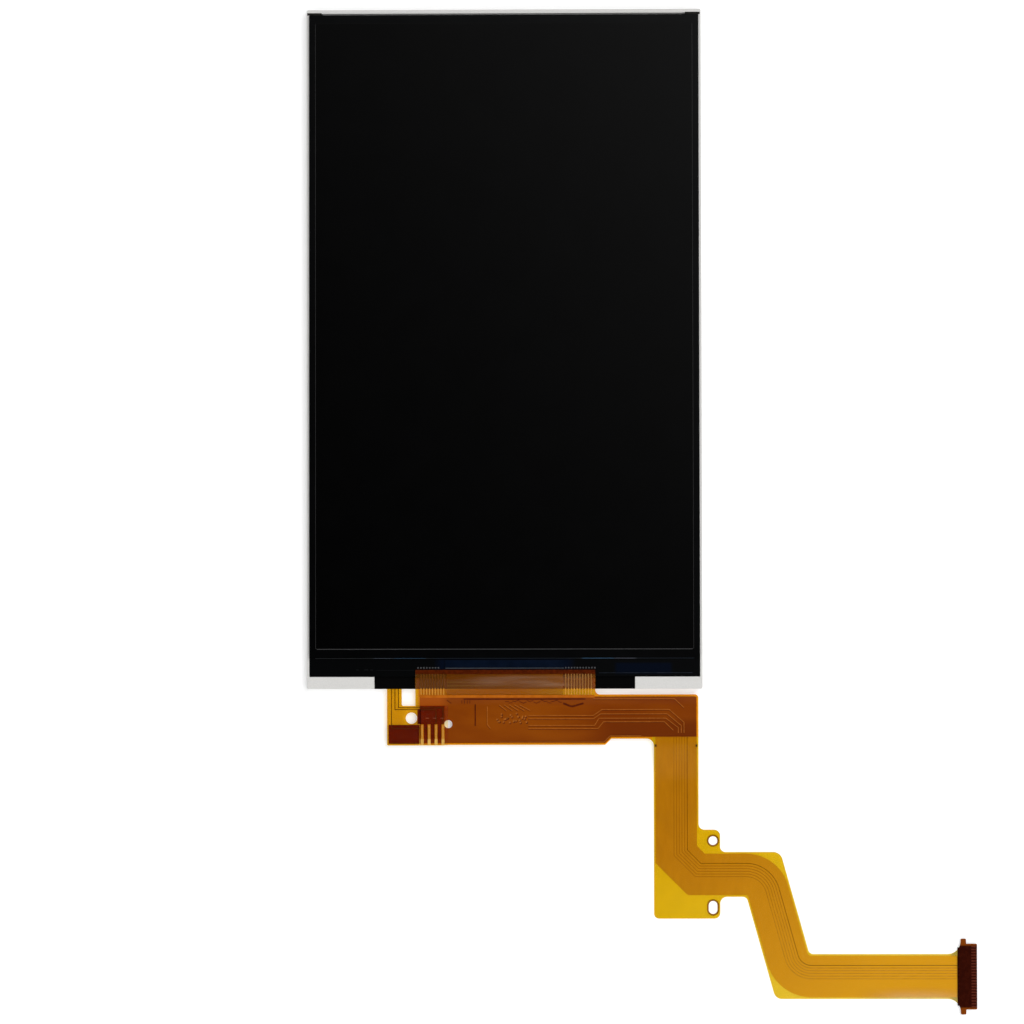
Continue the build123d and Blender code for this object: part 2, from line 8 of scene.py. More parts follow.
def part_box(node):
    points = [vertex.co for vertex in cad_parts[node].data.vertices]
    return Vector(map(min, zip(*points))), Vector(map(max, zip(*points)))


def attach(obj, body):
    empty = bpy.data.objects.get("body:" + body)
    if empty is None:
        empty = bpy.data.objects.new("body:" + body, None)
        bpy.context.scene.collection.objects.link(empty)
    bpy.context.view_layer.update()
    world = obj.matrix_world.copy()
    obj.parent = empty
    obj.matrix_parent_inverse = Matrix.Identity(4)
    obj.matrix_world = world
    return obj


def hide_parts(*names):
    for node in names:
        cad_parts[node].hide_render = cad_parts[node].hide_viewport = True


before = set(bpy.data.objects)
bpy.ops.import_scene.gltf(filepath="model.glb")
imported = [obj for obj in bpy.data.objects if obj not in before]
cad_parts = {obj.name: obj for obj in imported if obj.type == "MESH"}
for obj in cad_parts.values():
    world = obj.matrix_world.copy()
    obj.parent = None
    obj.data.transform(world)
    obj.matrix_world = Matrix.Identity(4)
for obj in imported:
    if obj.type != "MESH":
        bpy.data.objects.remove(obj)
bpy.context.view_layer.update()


# Mould frame: the white tray that carries the light sheets, the panel and the LED strip. It is moulded
# in one piece from a satin-white filled plastic, and the rest is laid into its pocket from the front.
MM = 0.001


def coat(name, dark, light, grain, gloss, relief, stretch=(1, 1, 1), metal=0.0, shine=0.5):
    """A finish with one grain, which varies two shades, the gloss and a relief; lengths in mm."""
    finish = bpy.data.materials.new(name)
    finish.use_nodes = True
    tree = finish.node_tree
    shader = tree.nodes["Principled BSDF"]
    shader.inputs["Metallic"].default_value = metal
    shader.inputs["Specular IOR Level"].default_value = shine
    place = tree.nodes.new("ShaderNodeTexCoord")
    turn = tree.nodes.new("ShaderNodeMapping")
    turn.inputs["Scale"].default_value = stretch
    speck = tree.nodes.new("ShaderNodeTexNoise")
    speck.inputs["Scale"].default_value = 1 / (grain * MM)
    speck.inputs["Detail"].default_value = 4
    shades = tree.nodes.new("ShaderNodeValToRGB")
    for stop, at, shade in zip(shades.color_ramp.elements, (0.36, 0.64), (dark, light)):
        stop.position = at
        stop.color = (*shade, 1)
    glaze = tree.nodes.new("ShaderNodeMapRange")
    glaze.inputs["To Min"].default_value = gloss[0]
    glaze.inputs["To Max"].default_value = gloss[1]
    bump = tree.nodes.new("ShaderNodeBump")
    bump.inputs["Distance"].default_value = relief * MM
    link = tree.links.new
    link(place.outputs["Object"], turn.inputs["Vector"])
    link(turn.outputs["Vector"], speck.inputs["Vector"])
    link(speck.outputs["Fac"], shades.inputs["Fac"])
    link(speck.outputs["Fac"], glaze.inputs["Value"])
    link(speck.outputs["Fac"], bump.inputs["Height"])
    link(shades.outputs["Color"], shader.inputs["Base Color"])
    link(glaze.outputs["Result"], shader.inputs["Roughness"])
    link(bump.outputs["Normal"], shader.inputs["Normal"])
    return finish


def dress(finish, *names):
    """Puts a finish on CAD nodes."""
    for name in names:
        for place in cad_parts[name].material_slots:
            place.material = finish


white_moulding = coat(
    "white_moulding",
    dark=(0.65, 0.645, 0.625),
    light=(0.69, 0.68, 0.66),
    grain=0.25,
    gloss=(0.42, 0.56),
    relief=0.004,
)
dress(white_moulding, "mould_frame")


# Reflector sheet: a silvered polyester film taped to the back of the frame. It closes the tray and turns
# the light that leaves the guide's back towards the viewer.
silver_film = coat(
    "silver_film",
    dark=(0.78, 0.79, 0.80),
    light=(0.84, 0.85, 0.86),
    grain=2.5,
    gloss=(0.24, 0.32),
    relief=0.001,
    stretch=(1, 0.3, 1),
    metal=0.7,
)
dress(silver_film, "reflector_sheet")


# Light guide and the three sheets on it: a clear acrylic plate with moulded dots on its back, a milky
# diffuser, and two clear films with fine prism ribs that cross each other. They lie loose in the tray.
guide_acrylic = coat(
    "guide_acrylic",
    dark=(0.74, 0.79, 0.81),
    light=(0.86, 0.90, 0.91),
    grain=0.25,
    gloss=(0.08, 0.20),
    relief=0.006,
)
dress(guide_acrylic, "light_guide")
milky_film = coat(
    "milky_film",
    dark=(0.80, 0.80, 0.79),
    light=(0.88, 0.88, 0.87),
    grain=0.12,
    gloss=(0.55, 0.75),
    relief=0.004,
)
dress(milky_film, "diffuser_sheet")

prism_shade = (0.80, 0.82, 0.84)
prism_pitch = 0.05
wave_period = 0.314


def ribbed(name, axis):
    """A clear film with fine straight ribs that stand across an axis."""
    dark = [0.9 * part for part in prism_shade]
    finish = coat(name, dark, prism_shade, grain=2.0, gloss=(0.18, 0.30), relief=0.002)
    tree = finish.node_tree
    place = tree.nodes.new("ShaderNodeTexCoord")
    ribs = tree.nodes.new("ShaderNodeTexWave")
    ribs.bands_direction = axis
    ribs.inputs["Scale"].default_value = wave_period / (prism_pitch * MM)
    rise = tree.nodes.new("ShaderNodeBump")
    rise.inputs["Distance"].default_value = 0.25 * prism_pitch * MM
    tree.links.new(place.outputs["Object"], ribs.inputs["Vector"])
    tree.links.new(ribs.outputs["Fac"], rise.inputs["Height"])
    tree.links.new(rise.outputs["Normal"], tree.nodes["Principled BSDF"].inputs["Normal"])
    return finish


dress(ribbed("prism_film_across", "Y"), "lower_prism_sheet")
dress(ribbed("prism_film_along", "X"), "upper_prism_sheet")


# Backlight LEDs: side-view packages in the frame's pockets, soldered to the LED circuit. Each is a white
# moulded case with a yellow phosphor fill that looks into the guide's lower edge.
led_case = coat(
    "led_case",
    dark=(0.72, 0.68, 0.50),
    light=(0.86, 0.84, 0.76),
    grain=0.6,
    gloss=(0.35, 0.50),
    relief=0.004,
)
dress(led_case, "backlight_leds")


# LED circuit: two amber polyimide films with thin conductors between them, a stiffener plate under the
# foot and four gold-plated lands that are soldered to the main circuit. It leaves at the lower left.
def reckon(tree, operation, first, second):
    """One sum of two values, either of which may be a plain number."""
    node = tree.nodes.new("ShaderNodeMath")
    node.operation = operation
    for socket, value in zip(node.inputs, (first, second)):
        if isinstance(value, (int, float)):
            socket.default_value = value
        else:
            tree.links.new(value, socket)
    return node.outputs["Value"]


def film(name, tint, shade, veil, gloss):
    """See-through film: each face tints the light, throws a little back, and is glossy outside."""
    finish = coat(name, [0.8 * part for part in shade], shade, grain=3.0, gloss=gloss, relief=0.004)
    tree = finish.node_tree
    link = tree.links.new
    bump = tree.nodes["Bump"]
    tints = tree.nodes.new("ShaderNodeValToRGB")
    for stop, at, part in zip(tints.color_ramp.elements, (0.3, 0.7), (0.985, 1.0)):
        stop.position = at
        stop.color = (tint[0] * part, tint[1] * part, tint[2] * part, 1)
    clear = tree.nodes.new("ShaderNodeBsdfTransparent")
    mirror = tree.nodes.new("ShaderNodeBsdfGlossy")
    edge = tree.nodes.new("ShaderNodeFresnel")
    edge.inputs["IOR"].default_value = 1.27
    facing = tree.nodes.new("ShaderNodeNewGeometry")
    outer_side = reckon(tree, "SUBTRACT", 1, facing.outputs["Backfacing"])
    polished = tree.nodes.new("ShaderNodeMixShader")
    whole = tree.nodes.new("ShaderNodeMixShader")
    whole.name = "Whole film"
    whole.inputs["Fac"].default_value = veil
    link(tree.nodes["Noise Texture"].outputs["Fac"], tints.inputs["Fac"])
    link(tints.outputs["Color"], clear.inputs["Color"])
    link(tree.nodes["Map Range"].outputs["Result"], mirror.inputs["Roughness"])
    link(bump.outputs["Normal"], mirror.inputs["Normal"])
    link(bump.outputs["Normal"], edge.inputs["Normal"])
    link(reckon(tree, "MULTIPLY", edge.outputs["Fac"], outer_side), polished.inputs["Fac"])
    link(clear.outputs["BSDF"], polished.inputs[1])
    link(mirror.outputs["BSDF"], polished.inputs[2])
    link(polished.outputs["Shader"], whole.inputs[1])
    link(tree.nodes["Principled BSDF"].outputs["BSDF"], whole.inputs[2])
    link(whole.outputs["Shader"], tree.nodes["Material Output"].inputs["Surface"])
    return finish


led_film = film(
    "gold_amber_film",
    tint=(0.920, 0.793, 0.27),
    shade=(0.90, 0.07, 0.01),
    veil=0.013,
    gloss=(0.14, 0.22),
)
dress(led_film, "led_flex_base", "led_flex_coverlay")
# The thin conductors are coloured dark brown: painted shade of the copper's edges.
thin_copper = coat(
    "thin_copper",
    dark=(0.05, 0.017, 0.003),
    light=(0.09, 0.03, 0.006),
    grain=0.3,
    gloss=(0.35, 0.5),
    relief=0.002,
    metal=0.2,
)
dress(thin_copper, "led_flex_copper")
gold = coat(
    "gold_plate",
    dark=(0.64, 0.34, 0.05),
    light=(0.78, 0.44, 0.08),
    grain=0.18,
    gloss=(0.25, 0.42),
    relief=0.003,
    stretch=(1, 0.2, 1),
    metal=0.15,
)
dress(gold, "backlight_lands")
foot_laminate = coat(
    "foot_laminate",
    dark=(0.135, 0.016, 0.002),
    light=(0.175, 0.024, 0.003),
    grain=0.5,
    gloss=(0.35, 0.5),
    relief=0.004,
    shine=0.1,
)
dress(foot_laminate, "led_flex_stiffener")


# Rim tape: black polyester tape, die-cut as a thin frame with a broad tongue at the bottom. It holds the
# panel to the tray and keeps stray light in. Its two tabs are folded over the rim at the top corners.
black_tape = coat(
    "black_tape",
    dark=(0.0008, 0.0008, 0.0009),
    light=(0.0015, 0.0015, 0.0016),
    grain=0.15,
    gloss=(0.45, 0.60),
    relief=0.003,
    shine=0.02,
)
dress(black_tape, "rim_tape")


def piece(name, mesh, finish):
    """Makes a finished piece of a mesh in mm, riding on the module."""
    bmesh.ops.recalc_face_normals(mesh, faces=mesh.faces[:])
    mesh.transform(Matrix.Scale(MM, 4))
    data = bpy.data.meshes.new(name)
    mesh.to_mesh(data)
    mesh.free()
    data.materials.append(finish)
    made = bpy.data.objects.new(name, data)
    bpy.context.scene.collection.objects.link(made)
    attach(made, "root")
    return made


def bar(left, right, bottom, top, low, high, slope):
    """A bar between limits in mm, its upper edges bevelled by a slope."""
    mesh = bmesh.new()
    bmesh.ops.create_cube(mesh, size=1)
    bmesh.ops.scale(mesh, vec=(right - left, top - bottom, high - low), verts=mesh.verts[:])
    middle = ((left + right) / 2, (bottom + top) / 2, (low + high) / 2)
    bmesh.ops.translate(mesh, vec=middle, verts=mesh.verts[:])
    upper = [e for e in mesh.edges if all(v.co.z > middle[2] for v in e.verts)]
    bmesh.ops.bevel(
        mesh, geom=upper, offset=slope, affect="EDGES", segments=2, profile=0.5, material=-1
    )
    return mesh


def join(meshes):
    """Puts several meshes in one."""
    whole = bmesh.new()
    for mesh in meshes:
        part = bpy.data.meshes.new("part")
        mesh.to_mesh(part)
        mesh.free()
        whole.from_mesh(part)
        bpy.data.meshes.remove(part)
    return whole


tab_spans = ((-34.70, -32.16), (31.98, 34.62))
tab_bottom = 58.99
tab_top = 59.41
rim_top = 1.30
tab_thickness = 0.02
tab_film = coat(
    "tab_film",
    dark=(0.006, 0.005, 0.004),
    light=(0.020, 0.018, 0.015),
    grain=0.8,
    gloss=(0.4, 0.55),
    relief=0.004,
    shine=0.1,
)
tabs = [
    bar(left, right, tab_bottom, tab_top, rim_top, rim_top + tab_thickness, slope=0.006)
    for left, right in tab_spans
]
piece("corner_tabs", join(tabs), tab_film)


# Panel: two sheets of thin glass with the picture cells sealed between them, black outside the picture.
# The rear glass stands out below as a ledge for the chip and the circuit, and has a polariser behind it.
def ramp(tree, value, low, high, start=0.0, end=1.0, unit=MM):
    """Goes from one number to another while a value goes between two limits, in mm as a rule."""
    slope = tree.nodes.new("ShaderNodeMapRange")
    limits = {"From Min": low * unit, "From Max": high * unit, "To Min": start, "To Max": end}
    for socket, amount in limits.items():
        slope.inputs[socket].default_value = amount
    tree.links.new(value, slope.inputs["Value"])
    return slope.outputs["Result"]


def both(tree, first, second):
    """1 where two masks are."""
    return reckon(tree, "MULTIPLY", first, second)


def band(tree, value, low, high, soft):
    """1 where a length lies between two limits, 0 outside a soft edge; all in mm."""
    rise = ramp(tree, value, low - soft, low)
    fall = ramp(tree, value, high, high + soft, start=1.0, end=0.0)
    return both(tree, rise, fall)


def axes(tree):
    """The place on the object, as its two lengths across the module."""
    place = tree.nodes.new("ShaderNodeTexCoord")
    parts = tree.nodes.new("ShaderNodeSeparateXYZ")
    tree.links.new(place.outputs["Object"], parts.inputs["Vector"])
    return parts.outputs["X"], parts.outputs["Y"]


def paint(finish, mask, shade, shader="Principled BSDF", socket="Base Color"):
    """Lays another shade over a finish where a mask is 1."""
    tree = finish.node_tree
    target = tree.nodes[shader].inputs[socket]
    blend = tree.nodes.new("ShaderNodeMix")
    blend.data_type = "RGBA"
    factor = blend.inputs[0]
    under = blend.inputs[6]
    over = blend.inputs[7]
    result = blend.outputs[2]
    over.default_value = (*shade, 1)
    tree.links.new(mask, factor)
    tree.links.new(target.links[0].from_socket, under)
    tree.links.new(result, target)


masked_glass = coat(
    "masked_glass",
    dark=(0.0004, 0.0005, 0.0006),
    light=(0.0009, 0.0010, 0.0012),
    grain=4.0,
    gloss=(0.03, 0.06),
    relief=0.0005,
)
tree = masked_glass.node_tree
x, y = axes(tree)
ledge = band(tree, y, -60.0, -54.6, 0.1)
paint(masked_glass, ledge, (0.0012, 0.0014, 0.0016))
# Two dark blue fields on the ledge, at the right and round the chip, are painted reflections.
ledge_blue_reflection_right = both(tree, band(tree, x, 19.8, 29.0, 0.6), band(tree, y, -57.1, -55.6, 0.4))
paint(masked_glass, ledge_blue_reflection_right, (0.0006, 0.0022, 0.0075))
ledge_blue_reflection_by_chip = both(tree, band(tree, x, -11.0, 11.0, 1.5), band(tree, y, -56.3, -54.9, 0.3))
paint(masked_glass, ledge_blue_reflection_by_chip, (0.001, 0.003, 0.010))
dress(masked_glass, "array_glass", "colour_filter_glass")
polariser_dark = coat(
    "polariser_dark",
    dark=(0.0001, 0.0001, 0.00013),
    light=(0.0003, 0.0003, 0.00036),
    grain=6.0,
    gloss=(0.03, 0.06),
    relief=0.0004,
)
dress(polariser_dark, "rear_polariser")


# Front polariser: a dark laminated film stuck to the front glass. It is cut with a slanting blade, so its
# edge is bevelled, and a pale grey strip along the lower edge is a painted highlight of that cut edge.
def points_in(geometry):
    """The vertices in an operator's result."""
    return [part for part in geometry if isinstance(part, bmesh.types.BMVert)]


low, high = (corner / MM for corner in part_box("front_polariser"))
middle = (low + high) / 2
corner_radius = 0.25
blade_slant = 0.03
plate = bmesh.new()
bmesh.ops.create_grid(plate, x_segments=1, y_segments=1, size=0.5)
bmesh.ops.scale(plate, vec=(high.x - low.x, high.y - low.y, 1), verts=plate.verts[:])
bmesh.ops.translate(plate, vec=(middle.x, middle.y, low.z), verts=plate.verts[:])
bmesh.ops.bevel(
    plate,
    geom=plate.verts[:],
    offset=corner_radius,
    affect="VERTICES",
    segments=4,
    profile=0.5,
    material=-1,
)
raised = bmesh.ops.extrude_face_region(plate, geom=plate.faces[:])["geom"]
bmesh.ops.translate(plate, vec=(0, 0, high.z - low.z), verts=points_in(raised))
rim = [e for e in plate.edges if all(v.co.z > middle.z for v in e.verts)]
bmesh.ops.bevel(
    plate, geom=rim, offset=blade_slant, affect="EDGES", segments=1, profile=0.5, material=-1
)
front = piece("front_polariser_film", plate, polariser_dark)
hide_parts("front_polariser")
# Pale grey of the strip along the polariser's lower edge: a painted highlight.
cut_edge = coat(
    "cut_edge",
    dark=(0.024, 0.024, 0.025),
    light=(0.036, 0.036, 0.038),
    grain=1.5,
    gloss=(0.35, 0.5),
    relief=0.002,
)
highlight_half = 33.0
highlight_width = 0.09
highlight_height = 0.10
highlight_strip = bar(
    left=-highlight_half,
    right=highlight_half,
    bottom=low.y - highlight_width,
    top=low.y,
    low=low.z,
    high=low.z + highlight_height,
    slope=0.02,
)
piece("polariser_cut_edge", highlight_strip, cut_edge)


# Lower edge of the front glass: it is scribed, broken and ground, and stands grey above the ledge, partly
# the ground glass and partly a painted highlight. Two stretches carry a painted blue reflection, with a
# paler painted highlight beside each, and the edge is darker in the middle and at the right.
ground_edge = coat(
    "ground_edge",
    dark=(0.0055, 0.007, 0.008),
    light=(0.0075, 0.009, 0.010),
    grain=0.8,
    gloss=(0.35, 0.5),
    relief=0.002,
    shine=0.15,
)
tree = ground_edge.node_tree
x, y = axes(tree)
for left, right in ((-12.4, 12.4), (23.6, 40.0)):
    paint(ground_edge, band(tree, x, left, right, 0.8), (0.002, 0.006, 0.012))
# Painted highlights on two pale stretches, and painted blue reflections on two others.
edge_highlight_left = band(tree, x, -22.8, -19.8, 0.5)
edge_blue_reflection_left = band(tree, x, -19.2, -14.2, 0.5)
edge_blue_reflection_right = band(tree, x, 13.9, 19.0, 0.5)
edge_highlight_right = band(tree, x, 19.6, 22.8, 0.5)
paint(ground_edge, edge_highlight_left, (0.030, 0.040, 0.053))
paint(ground_edge, edge_blue_reflection_left, (0.010, 0.034, 0.063))
paint(ground_edge, edge_blue_reflection_right, (0.030, 0.078, 0.140))
paint(ground_edge, edge_highlight_right, (0.065, 0.070, 0.092))
low, high = (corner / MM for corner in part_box("colour_filter_glass"))
end_margin = 1.0
edge_width = 0.10
ground_strip = bar(
    left=low.x + end_margin,
    right=high.x - end_margin,
    bottom=low.y - edge_width,
    top=low.y,
    low=low.z,
    high=high.z,
    slope=0.05,
)
piece("front_glass_edge", ground_strip, ground_edge)


# Driver chip: a long bare silicon die, bonded face down on the ledge with conductive film. Its polished
# back is what shows.
polished_silicon = coat(
    "polished_silicon",
    dark=(0.0008, 0.0030, 0.0095),
    light=(0.0016, 0.0046, 0.0140),
    grain=2.0,
    gloss=(0.04, 0.08),
    relief=0.0005,
)
dress(polished_silicon, "driver_chip")


# Bond pads and lines on the ledge: thin metal, etched on the glass. The pads' ends show above the
# circuit's tab, and the lines run between them and past the tab to both sides.
ledge_top = low.z
metal_top = ledge_top + 0.006
thin_metal_top = ledge_top + 0.003
pad_pitch = 0.51
pad_half = 0.13
pad_bottom = -56.36
pad_end = -56.10
pad_places = [-11.65 - pad_pitch * step for step in range(8)]
pad_places += [10.75 + pad_pitch * step for step in range(11)]
pad_metal = coat(
    "pad_metal",
    dark=(0.035, 0.036, 0.038),
    light=(0.075, 0.075, 0.078),
    grain=0.2,
    gloss=(0.3, 0.45),
    relief=0.001,
    metal=0.3,
)
pads = [
    bar(place - pad_half, place + pad_half, pad_bottom, pad_end, ledge_top, metal_top, slope=0.002)
    for place in pad_places
]
piece("bond_pads", join(pads), pad_metal)
line_metal = coat(
    "line_metal",
    dark=(0.004, 0.006, 0.009),
    light=(0.014, 0.018, 0.026),
    grain=1.1,
    gloss=(0.3, 0.45),
    relief=0.001,
    stretch=(1, 0.1, 1),
    shine=0.06,
)
tree = line_metal.node_tree
x, y = axes(tree)
left_of_tab = band(tree, x, -40.0, -12.0, 1.0)
below_chip = band(tree, x, -10.6, 10.6, 0.3)
paint(line_metal, left_of_tab, (0.0020, 0.0025, 0.0030))
paint(line_metal, below_chip, (0.105, 0.115, 0.125))
chip_line = (-10.4, 10.4, -56.34, -56.24)
side_lines = (
    (16.6, 33.0, -57.18, -57.08),
    (-22.6, -16.0, -56.70, -56.60),
    (-26.1, -25.7, -56.70, -56.48),
    (-24.7, -24.0, -56.68, -56.42),
    (-23.6, -23.2, -56.70, -56.48),
)
lines = [bar(*chip_line, ledge_top, metal_top, slope=0.002)]
lines += [bar(*limits, ledge_top, thin_metal_top, slope=0.001) for limits in side_lines]
piece("ledge_lines", join(lines), line_metal)


# Main circuit, its films: amber polyimide above and below the copper, glued together. The tab is bonded
# to the ledge; two gentle bends bring the circuit down to the surface that the module lies on.
amber_veil = 0.016
amber = film(
    "amber_film",
    tint=(0.936, 0.852, 0.17),
    shade=(0.80, 0.27, 0.012),
    veil=amber_veil,
    gloss=(0.14, 0.22),
)


def tint(finish, mask, colour):
    """Changes a film's see-through colour where a mask is 1."""
    paint(finish, mask, colour, "Transparent BSDF", "Color")


def painted_light_along_tail(tree, x, y):
    """Painted light along the tail: 0 on the body, 1 near the contacts."""
    return ramp(tree, reckon(tree, "SUBTRACT", x, y), 110.0, 175.0)


tree = amber.node_tree
x, y = axes(tree)
# Film lighter and paler yellow towards the contacts: painted light.
tint(amber, painted_light_along_tail(tree, x, y), (0.958, 0.905, 0.56))
body_left_of_step = both(tree, band(tree, x, -40.0, 18.2, 0.5), band(tree, y, -69.45, -60.0, 0.7))
body_over_notch = both(tree, band(tree, x, 18.2, 25.9, 0.1), band(tree, y, -68.40, -60.0, 0.7))
body_over_tail = band(tree, y, -68.35, -50.0, 0.1)
thick_part = reckon(tree, "MAXIMUM", body_left_of_step, body_over_notch)
thick_part = reckon(tree, "MAXIMUM", thick_part, body_over_tail)
thick_part = both(tree, thick_part, band(tree, x, -15.0, 33.66, 0.7))
tint(amber, thick_part, (0.950, 0.745, 0.13))
below_module = both(tree, band(tree, x, -10.3, 15.8, 0.1), band(tree, y, -61.05, -59.95, 0.05))
tint(amber, below_module, (0.935, 0.800, 0.11))
glued_side = both(tree, band(tree, x, -40.0, 2.0, 10.0), band(tree, y, -61.3, -56.0, 0.1))
glued_side = both(tree, glued_side, band(tree, x, -15.0, 20.0, 0.1))
tint(amber, glued_side, (0.885, 0.675, 0.09))

# Painted glare on the main film: streaks on the middle of the tab and a spot near the contact plate's
# edge, laid on as a lighter colour and a stronger veil.
place = tree.nodes.new("ShaderNodeTexCoord")
along = tree.nodes.new("ShaderNodeMapping")
along.inputs["Scale"].default_value = (0.12, 1, 1)
glare_noise = tree.nodes.new("ShaderNodeTexNoise")
glare_noise.inputs["Scale"].default_value = 1 / (1.2 * MM)
tree.links.new(place.outputs["Object"], along.inputs["Vector"])
tree.links.new(along.outputs["Vector"], glare_noise.inputs["Vector"])
glare_streak_mask = ramp(tree, glare_noise.outputs["Fac"], 0.35, 0.60, unit=1)
glare_streaks_on_tab = both(tree, band(tree, x, -2.0, 9.0, 7.0), band(tree, y, -59.3, -57.9, 0.5))
glare_streaks_on_tab = both(tree, glare_streaks_on_tab, glare_streak_mask)
paint(amber, glare_streaks_on_tab, (0.80, 0.50, 0.37))
glare_spot_near_plate = both(tree, band(tree, x, 69.0, 76.0, 8.0), band(tree, y, -116.0, -113.9, 1.6))
paint(amber, glare_spot_near_plate, (0.90, 0.74, 0.56))
left_leads = both(tree, band(tree, x, -15.8, -10.3, 0.1), band(tree, y, -59.9, -57.3, 0.2))
# A veil that grows across the tab towards the right: painted glare. The left leads get a stronger veil
# too.
tab_glare = ramp(tree, x, -16.0, 16.0, start=0.004, end=0.065)
haze_and_glare = both(tree, tab_glare, band(tree, y, -60.0, -57.5, 0.2))
for veiled_part, strength in ((glare_streaks_on_tab, 0.040), (left_leads, 0.035), (glare_spot_near_plate, 0.10)):
    haze_and_glare = reckon(tree, "ADD", haze_and_glare, reckon(tree, "MULTIPLY", veiled_part, strength))
tree.links.new(reckon(tree, "ADD", haze_and_glare, amber_veil), tree.nodes["Whole film"].inputs["Fac"])
dress(amber, "main_flex_base", "main_flex_coverlay")


# Main circuit, its copper: one layer of rolled foil, etched into conductors. On the middle of the tab the
# leads are finer than a hair, with clear film between them, and at the flare they fan out to the contacts.
copper = coat(
    "rolled_copper",
    dark=(0.57, 0.295, 0.20),
    light=(0.62, 0.33, 0.225),
    grain=0.9,
    gloss=(0.4, 0.6),
    relief=0.002,
    stretch=(1, 0.25, 1),
    metal=0.1,
)
tree = copper.node_tree
x, y = axes(tree)
# Copper lighter towards the contacts: painted light.
paint(copper, painted_light_along_tail(tree, x, y), (0.80, 0.465, 0.034))
body_over_tail = band(tree, y, -68.35, -61.2, 0.1)
body_beside_tail = both(tree, band(tree, x, -40.0, 25.9, 0.1), band(tree, y, -69.9, -61.2, 0.1))
for body_part in (body_over_tail, body_beside_tail):
    paint(copper, body_part, (0.66, 0.24, 0.15))
# The tab's copper is darker over the module and dark red where bonded; its lighter copper on the bend
# below the module is a painted glint.
tab_end = -56.0
whole_tab = band(tree, y, -60.95, tab_end, 0.15)
over_module = band(tree, y, -59.90, tab_end, 0.10)
bonded_part = band(tree, y, -57.25, tab_end, 0.15)
paint(copper, whole_tab, (0.40, 0.29, 0.02))
paint(copper, over_module, (0.13, 0.085, 0.045))
paint(copper, bonded_part, (0.09, 0.015, 0.005))
lead_pitch = 0.10
lead_share = 0.87
part_way = reckon(tree, "FRACT", reckon(tree, "DIVIDE", x, lead_pitch * MM), 0)
tab_middle = both(tree, band(tree, x, -10.2, 10.2, 0.01), band(tree, y, -61.25, tab_end, 0.01))
between_leads = both(tree, reckon(tree, "GREATER_THAN", part_way, lead_share), tab_middle)
beside_fan = reckon(tree, "SUBTRACT", 1, band(tree, y, -114.14, -106.86, 0.02))
beside_fan = both(tree, band(tree, x, 75.0, 90.0, 0.01), beside_fan)
etched_away = tree.nodes.new("ShaderNodeBsdfTransparent")
foil = tree.nodes.new("ShaderNodeMixShader")
tree.links.new(reckon(tree, "MAXIMUM", between_leads, beside_fan), foil.inputs["Fac"])
tree.links.new(tree.nodes["Principled BSDF"].outputs["BSDF"], foil.inputs[1])
tree.links.new(etched_away.outputs["BSDF"], foil.inputs[2])
tree.links.new(foil.outputs["Shader"], tree.nodes["Material Output"].inputs["Surface"])
dress(copper, "main_flex_copper")
ring_copper = coat(
    "ring_copper",
    dark=(0.28, 0.145, 0.010),
    light=(0.38, 0.20, 0.016),
    grain=0.2,
    gloss=(0.35, 0.5),
    relief=0.002,
    shine=0.05,
)
dress(ring_copper, "locating_rings")


# Gaps between the tail's conductors: lines of adhesive between the copper and the upper film, coloured
# dark as painted shade in the narrow gaps, darker on the upper tail. They keep their distance from the
# tail's edge round every bend.
def across(direction):
    """Level direction to the left of another."""
    return Vector((-direction.y, direction.x, 0))


def edge_between(geometry, ends):
    """The edge with these two ends in an operator's result."""
    edges = [part for part in geometry if isinstance(part, bmesh.types.BMEdge)]
    return next(edge for edge in edges if set(edge.verts) == set(ends))


def ribbon(corners, width, low, high):
    """A flat bar along corners of x, y and bend radius, in mm; a radius of 0 is a mitre."""
    mesh = bmesh.new()
    points = [Vector((x, y, low)) for x, y, radius in corners]
    radii = [radius for x, y, radius in corners]
    heading = [(b - a).normalized() for a, b in zip(points, points[1:])]
    side = across(heading[0]) * width / 2
    left = mesh.verts.new(points[0] + side)
    right = mesh.verts.new(points[0] - side)
    edge = mesh.edges.new((left, right))

    def grow(edge, left, to_left, to_right):
        made = bmesh.ops.extrude_edge_only(mesh, edges=[edge])["geom"]
        ends = points_in(made)
        ends.sort(key=lambda v: (v.co - left.co).length)
        ends[0].co = to_left
        ends[1].co = to_right
        return edge_between(made, ends), ends[0], ends[1]

    for point, before, after, radius in zip(points[1:-1], heading, heading[1:], radii[1:-1]):
        turn = math.atan2(before.cross(after).z, before.dot(after))
        if radius:
            start = point - before * radius * math.tan(abs(turn) / 2)
            side = across(before) * width / 2
            edge, left, right = grow(edge, left, start + side, start - side)
            centre = start + across(before) * math.copysign(radius, turn)
            spun = bmesh.ops.spin(
                mesh,
                geom=[edge, left, right],
                cent=centre,
                axis=(0, 0, 1),
                angle=turn,
                steps=12,
                use_duplicate=False,
            )["geom_last"]
            left, right = sorted(
                points_in(spun), key=lambda v: (v.co - centre).length, reverse=turn < 0
            )
            edge = edge_between(spun, (left, right))
        else:
            mitre = (across(before) + across(after)).normalized() * width / 2 / math.cos(turn / 2)
            edge, left, right = grow(edge, left, point + mitre, point - mitre)
    side = across(heading[-1]) * width / 2
    grow(edge, left, points[-1] + side, points[-1] - side)
    raised = bmesh.ops.extrude_face_region(mesh, geom=mesh.faces[:])["geom"]
    bmesh.ops.translate(mesh, vec=(0, 0, high - low), verts=points_in(raised))
    return mesh


tab_level = 1.295
body_level = 0.495
table_level = 0.0
flex_bends = ((-58.24, -62.71, tab_level, body_level), (-69.45, -75.95, body_level, table_level))


